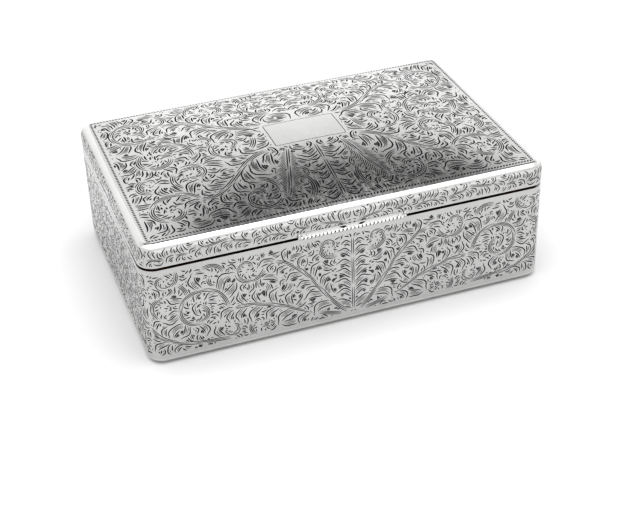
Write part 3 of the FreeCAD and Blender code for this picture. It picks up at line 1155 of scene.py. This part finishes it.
LIFT_LOW, LIFT_HIGH = node_box("thumb_lift")
LIFT_TALL = LIFT_HIGH[2] - LIFT_LOW[2]
LIFT_NOSE = 0.5          # radius of its rolled lip
LIFT_CLEAR = 0.02        # kept inside the CAD piece's box
LIFT_TOP = 0.3
LIFT_INSET = 0.55        # the strip stops this far from the ends, where the beads are
LIFT_STEP = 0.16
LIFT_PITCH = 1.7         # of the milling,
LIFT_MILLING = 0.4       # and its depth
LIFT_CHASING = 0.14      # depth of the leaf and of the stippled ends,
LIFT_END = 4.5           # which are this long
LIFT_LEAF = (4.0, 3.0, 2.0, 0.66, 0.26)    # (middle, lean, half length); level and half height, of the lift's
LIFT_BEADS = ((0.8, 0.8, 0.75), (0.85, 2.05, 0.6), (2.2, 2.1, 0.42))      # (inset, height, radius)
PAD_CORNER = 3.0
PAD_ROWS = 5
BOARD_EASE = 0.3
SHARP_ANGLE = 0.6        # edges over this, in radians, are eased
BOARDS = [kind + side for kind in ("lid_strip_", "liner_") for side in SIDES] + ["liner_divider"]
PLAIN_NODES = ("body_rim", "body_hinge_bearer", "body_knuckles", "hinge_pin", "lid_rim", "lid_hinge_bearer",
               "lid_knuckles")
CEDAR_NODES = ("liner_floor", "lid_panel")


def give(node, material):
    mesh = frame["nodes"][node].data
    mesh.materials.clear()
    mesh.materials.append(materials[material])


def dress_cad_pieces():
    for node in PLAIN_NODES:
        give(node, "plain")
    for node in CEDAR_NODES:
        give(node, "cedar_x")


def board_outline(low, high):
    """A board in plan: mitred into its neighbours, and rounded at the case's corners."""
    centre, half = ((low + high) / 2)[:2], ((high - low) / 2)[:2]
    along = int(half[1] > half[0])
    outwards = math.copysign(1.0, centre[1 - along])
    corner_cut = abs(node_box("liner_left")[0][0]) - abs(node_box("liner_front")[0][0])
    radius = corner_cut / (1 - math.sqrt(0.5))
    end, depth = half[along] + corner_cut, half[1 - along]
    turns = np.linspace(math.pi / 4, 0, 6)
    right = [(end - 2 * depth, -depth)]
    right += [(end - radius + radius * math.sin(a), depth - radius + radius * math.cos(a)) for a in turns]
    points = []
    for length, out in right + [(-x, y) for x, y in right[::-1]]:
        place = centre.copy()
        place[along] += length
        place[1 - along] += out * outwards
        points.append(place)
    return points


def shape_and_faces(work):
    """The points and faces of a bmesh, which is then freed."""
    work.verts.index_update()
    shape = [vertex.co[:] for vertex in work.verts]
    faces = [[vertex.index for vertex in face.verts] for face in work.faces]
    work.free()
    return shape, faces


def eased_block(points, low_z, high_z):
    """An upright block with this outline, its edges eased; its points and faces."""
    work = bmesh.new()
    bottom, top = ([work.verts.new((x, y, z)) for x, y in points] for z in (low_z, high_z))
    work.faces.new(bottom[::-1])
    work.faces.new(top)
    for index in range(len(points)):
        after = (index + 1) % len(points)
        work.faces.new((bottom[index], bottom[after], top[after], top[index]))
    bmesh.ops.recalc_face_normals(work, faces=work.faces)
    sharp = [edge for edge in work.edges if edge.calc_face_angle(0) > SHARP_ANGLE]
    bmesh.ops.bevel(work, geom=sharp, offset=BOARD_EASE, segments=2, profile=0.5, affect="EDGES",
                    clamp_overlap=True)
    return shape_and_faces(work)


def build_boards():
    """The cedar boards again, with their edges eased."""
    for node in sorted(BOARDS):
        low, high = node_box(node)
        grain = "cedar_x" if high[0] - low[0] > high[1] - low[1] else "cedar_y"
        if node == "liner_divider":
            ring = [(low[0], low[1]), (high[0], low[1]), (high[0], high[1]), (low[0], high[1])]
        else:
            ring = board_outline(low, high)
        body = "lid" if node.startswith("lid") else "root"
        board = new_object("board_" + node, *eased_block(ring, low[2], high[2]), body, node, "cedar", grain)
        tidy_mesh(board.data)


def build_pad():
    """The baize glued under the base, with softly rounded edges."""
    low, high = node_box("base_pad")
    half = (high - low)[:2] / 2
    soft = (high[2] - low[2]) / 2
    quarter = np.linspace(0, math.pi / 2, 7)
    points = []
    for number, corner in enumerate(((1, -1), (1, 1), (-1, 1), (-1, -1))):
        for angle in quarter + (number - 1) * math.pi / 2:
            out = np.array([math.cos(angle), math.sin(angle)])
            centre = np.array(corner) * (half - PAD_CORNER)
            for tilt in np.linspace(-math.pi / 2, math.pi / 2, PAD_ROWS):
                flat = centre + out * (PAD_CORNER - soft * (1 - math.cos(tilt)))
                points.append((*flat, low[2] + soft * (1 + math.sin(tilt))))
    places = len(points) // PAD_ROWS
    faces = band_faces(places, PAD_ROWS)
    faces.append([place * PAD_ROWS for place in range(places)][::-1])
    faces.append([place * PAD_ROWS + PAD_ROWS - 1 for place in range(places)])
    pad = new_object("baize_pad", points, faces, "root", "base_pad", "baize", "baize")
    tidy_mesh(pad.data)


def lift_section():
    """(out, up) round the lift: a thin top, a hollow flare, and a rolled lip; and how far it is milled."""
    lip = LIFT_HIGH[1] - LIFT_LOW[1] - LIFT_NOSE - LIFT_CLEAR
    sweep = np.linspace(0, math.pi / 2, 9)
    flare_out = LIFT_TOP + (lip - LIFT_TOP) * (1 - np.cos(sweep))
    flare_up = LIFT_TALL - (LIFT_TALL - 2 * LIFT_NOSE) * np.sin(sweep)
    nose = np.linspace(math.pi / 2, -math.pi / 2, 11)[1:]
    out = np.concatenate([[0.0], flare_out, lip + LIFT_NOSE * np.cos(nose), [0.0]])
    up = np.concatenate([[LIFT_TALL], flare_up, LIFT_NOSE + LIFT_NOSE * np.sin(nose), [0.0]])
    milled = np.concatenate([np.zeros(7), [0.3, 0.6, 0.9], np.ones(7), [0.7, 0.4, 0.0], [0.0]])
    return out, up, milled


def lift_chasing(x, up):
    """How strongly the lift is cut at a place: one leaf each way on the flare, and stippled ends."""
    height = up / LIFT_TALL
    centre, lean, half_length, level, half_height = LIFT_LEAF
    along = (abs(x) - centre - lean * (height - 0.6)) / half_length
    depth = 1 - along ** 2 - ((height - level) / half_height) ** 2
    if abs(x) > LIFT_HIGH[0] - LIFT_END:
        slant = np.sin(2 * math.pi * x / 1.1 + 5.0 * height)
        stipple = slant * np.sin(2 * math.pi * (height * 1.7 + x / 2.3))
        depth = np.maximum(depth, 1.6 * stipple - 0.5)
    return np.where((height > 0.3) & (height < 0.97), np.clip(depth, 0, 1), 0.0)


def lift_rows():
    """Points down the lift at every place along it, and flags where they are cut dark."""
    out, up, milled = lift_section()
    end = LIFT_HIGH[0] - LIFT_INSET
    points, chased = [], []
    for x in np.arange(-end, end + 0.01, LIFT_STEP):
        taper = min(1.0, 0.35 + 0.65 * math.sin(min(1.0, (end - abs(x)) / 1.6) * math.pi / 2))
        wave = 0.5 + 0.5 * np.cos(2 * math.pi * (x - 0.9 * up) / LIFT_PITCH)
        depth = lift_chasing(x, up)
        cut = LIFT_MILLING * milled * wave ** 1.5 + LIFT_CHASING * depth * (out > 0)
        reach_out = np.maximum(out - cut, 0) * taper
        points.append(np.column_stack([np.full(len(out), x), LIFT_HIGH[1] - reach_out, LIFT_LOW[2] + up]))
        chased.append((depth > 0.4) | (milled * wave > 0.62))
    return points, chased


def build_lift():
    """The thumb lift: a flared strip whose lip is milled with slanting cuts, with beads at its ends."""
    points, chased = lift_rows()
    places, rows = len(points), len(points[0])
    strips = [(place, row) for place in range(places - 1) for row in range(rows - 1)]
    starts = [(place * rows + row, (place + 1) * rows + row) for place, row in strips]
    faces = [(here, here + 1, after + 1, after) for here, after in starts]
    dark = [int(chased[place][row] and chased[place + 1][row + 1]) for place, row in strips]
    faces.append(list(range(rows))[::-1])
    faces.append([(places - 1) * rows + row for row in range(rows)])
    work = bmesh.new()
    corners = [work.verts.new(point) for point in np.concatenate(points)]
    for face, is_dark in zip(faces, dark + [0, 0]):
        work.faces.new([corners[index] for index in face]).material_index = is_dark
    for way in (-1, 1):
        for inset, height, radius in LIFT_BEADS:
            place = Vector((way * (LIFT_HIGH[0] - inset), LIFT_HIGH[1] - radius * 0.9, LIFT_LOW[2] + height))
            bmesh.ops.create_icosphere(work, subdivisions=3, radius=radius, matrix=Matrix.Translation(place))
    bmesh.ops.recalc_face_normals(work, faces=work.faces)
    slots = [face.material_index for face in work.faces]
    lift = new_object("lift_lip", *shape_and_faces(work), "lid", "thumb_lift", "silver_lift", "lift",
                      "groove")
    lift.data.polygons.foreach_set("material_index", slots)
    tidy_mesh(lift.data)


# --- Building it ---

build_tray()
build_lid_inside()
build_polished_edge()
for side, plate in (("front", draw_front(11)), ("right", draw_side("right", 12)),
                    ("back", draw_front(13)), ("left", draw_side("left", 14))):
    build_body_side(side, plate)
for side, seed in (("front", 21), ("right", 22), ("back", 23), ("left", 24)):
    build_skirt(side, draw_skirt(side, seed))
build_top(draw_top(31))
dress_cad_pieces()
build_boards()
build_pad()
build_lift()


# --- Floor, light and camera ---

# Metres here, but for the lens and its sensor, which are millimetres
FLOOR_HALF = 4.0
STUDIO_UP = (0.24, 0.0, 0.97)
STUDIO_GREYS = ((0.0, 1.3), (0.35, 1.34), (0.5, 1.14), (0.6, 1.15), (0.68, 0.82), (0.75, 0.23), (0.87, 0.16))
LIGHT_SIZE = 1.0
LIGHT_HEIGHT = 1.5
LIGHT_POWER = 9.0
AZIMUTH = math.radians(-19.09)
ELEVATION = math.radians(33.58)
ROLL = math.radians(-1.80)
LOOK_AT = Vector((3.56, -5.64, 0.0)) * MM
CAMERA_DISTANCE = 0.6365
SENSOR = 36.0
LENS = 78.13


def build_floor():
    mesh = bpy.data.meshes.new("studio_floor")
    corners = [(x * FLOOR_HALF, y * FLOOR_HALF, 0) for x, y in ((-1, -1), (1, -1), (1, 1), (-1, 1))]
    mesh.from_pydata(corners, [], [(0, 1, 2, 3)])
    mesh.materials.append(materials["floor"])
    add_to_scene("studio_floor", mesh)


def build_world():
    """A studio: bright low down, a dark gap high behind the box, and white overhead and in front."""
    world = bpy.data.worlds.new("studio")
    world.use_nodes = True
    sky = Nodes(world.node_tree)

    def eased(source, *values):
        return sky.ranged(source, *values, interpolation_type="SMOOTHSTEP")

    def combined(operation, first, second):
        node = sky.add("ShaderNodeMath", operation=operation)
        sky.link(first, node.inputs[0])
        sky.link(second, node.inputs[1])
        return node.outputs["Value"]

    toward = sky.add("ShaderNodeTexCoord").outputs["Generated"]
    height = sky.add("ShaderNodeVectorMath", operation="DOT_PRODUCT")
    height.inputs[1].default_value = STUDIO_UP
    sky.link(toward, height.inputs[0])
    parts = sky.add("ShaderNodeSeparateXYZ")
    sky.link(toward, parts.inputs["Vector"])
    around = sky.ramp(height.outputs["Value"], [(place, (grey,) * 3) for place, grey in STUDIO_GREYS])
    left_is_dimmer = eased(parts.outputs["X"], -0.6, 0.15, 0.72, 1.0)
    in_front = eased(parts.outputs["Y"], 0.44, 0.34, 0.0, 1.0)
    high_is_white = eased(parts.outputs["Z"], 0.74, 0.83, 1.04, 1.65)
    front_is_white = combined("MULTIPLY", in_front, high_is_white)
    behind = combined("MULTIPLY", around, left_is_dimmer)
    background = sky.tree.nodes["Background"].inputs
    background["Color"].default_value = (1, 1, 1, 1)
    sky.link(combined("MAXIMUM", behind, front_is_white), background["Strength"])
    bpy.context.scene.world = world


def build_light():
    """A soft square light straight overhead, which points down."""
    data = bpy.data.lights.new("overhead", "AREA")
    data.shape = "RECTANGLE"
    data.size, data.size_y = LIGHT_SIZE, LIGHT_SIZE
    data.energy = LIGHT_POWER
    light = add_to_scene("overhead", data)
    light.location = (0, 0, LIGHT_HEIGHT)
    light.rotation_mode = "QUATERNION"
    light.rotation_quaternion = Vector((0, 0, -1)).to_track_quat("-Z", "Y")


def build_camera():
    data = bpy.data.cameras.new("camera")
    data.sensor_width = SENSOR
    data.lens = LENS
    data.clip_start = 0.01
    level = math.cos(ELEVATION)
    forward = Vector((-math.sin(AZIMUTH) * level, math.cos(AZIMUTH) * level, -math.sin(ELEVATION)))
    right = Vector((math.cos(AZIMUTH), math.sin(AZIMUTH), 0))
    up = right.cross(forward)
    rolled_right = math.cos(ROLL) * right + math.sin(ROLL) * up
    rolled_up = math.cos(ROLL) * up - math.sin(ROLL) * right
    camera = add_to_scene("camera", data)
    turn = Matrix((rolled_right, rolled_up, -forward)).transposed()
    camera.matrix_world = Matrix.Translation(LOOK_AT - forward * CAMERA_DISTANCE) @ turn.to_4x4()
    bpy.context.scene.camera = camera


build_floor()
build_world()
build_light()
build_camera()
view = bpy.context.scene.view_settings
view.view_transform, view.look = "Standard", "Medium High Contrast"
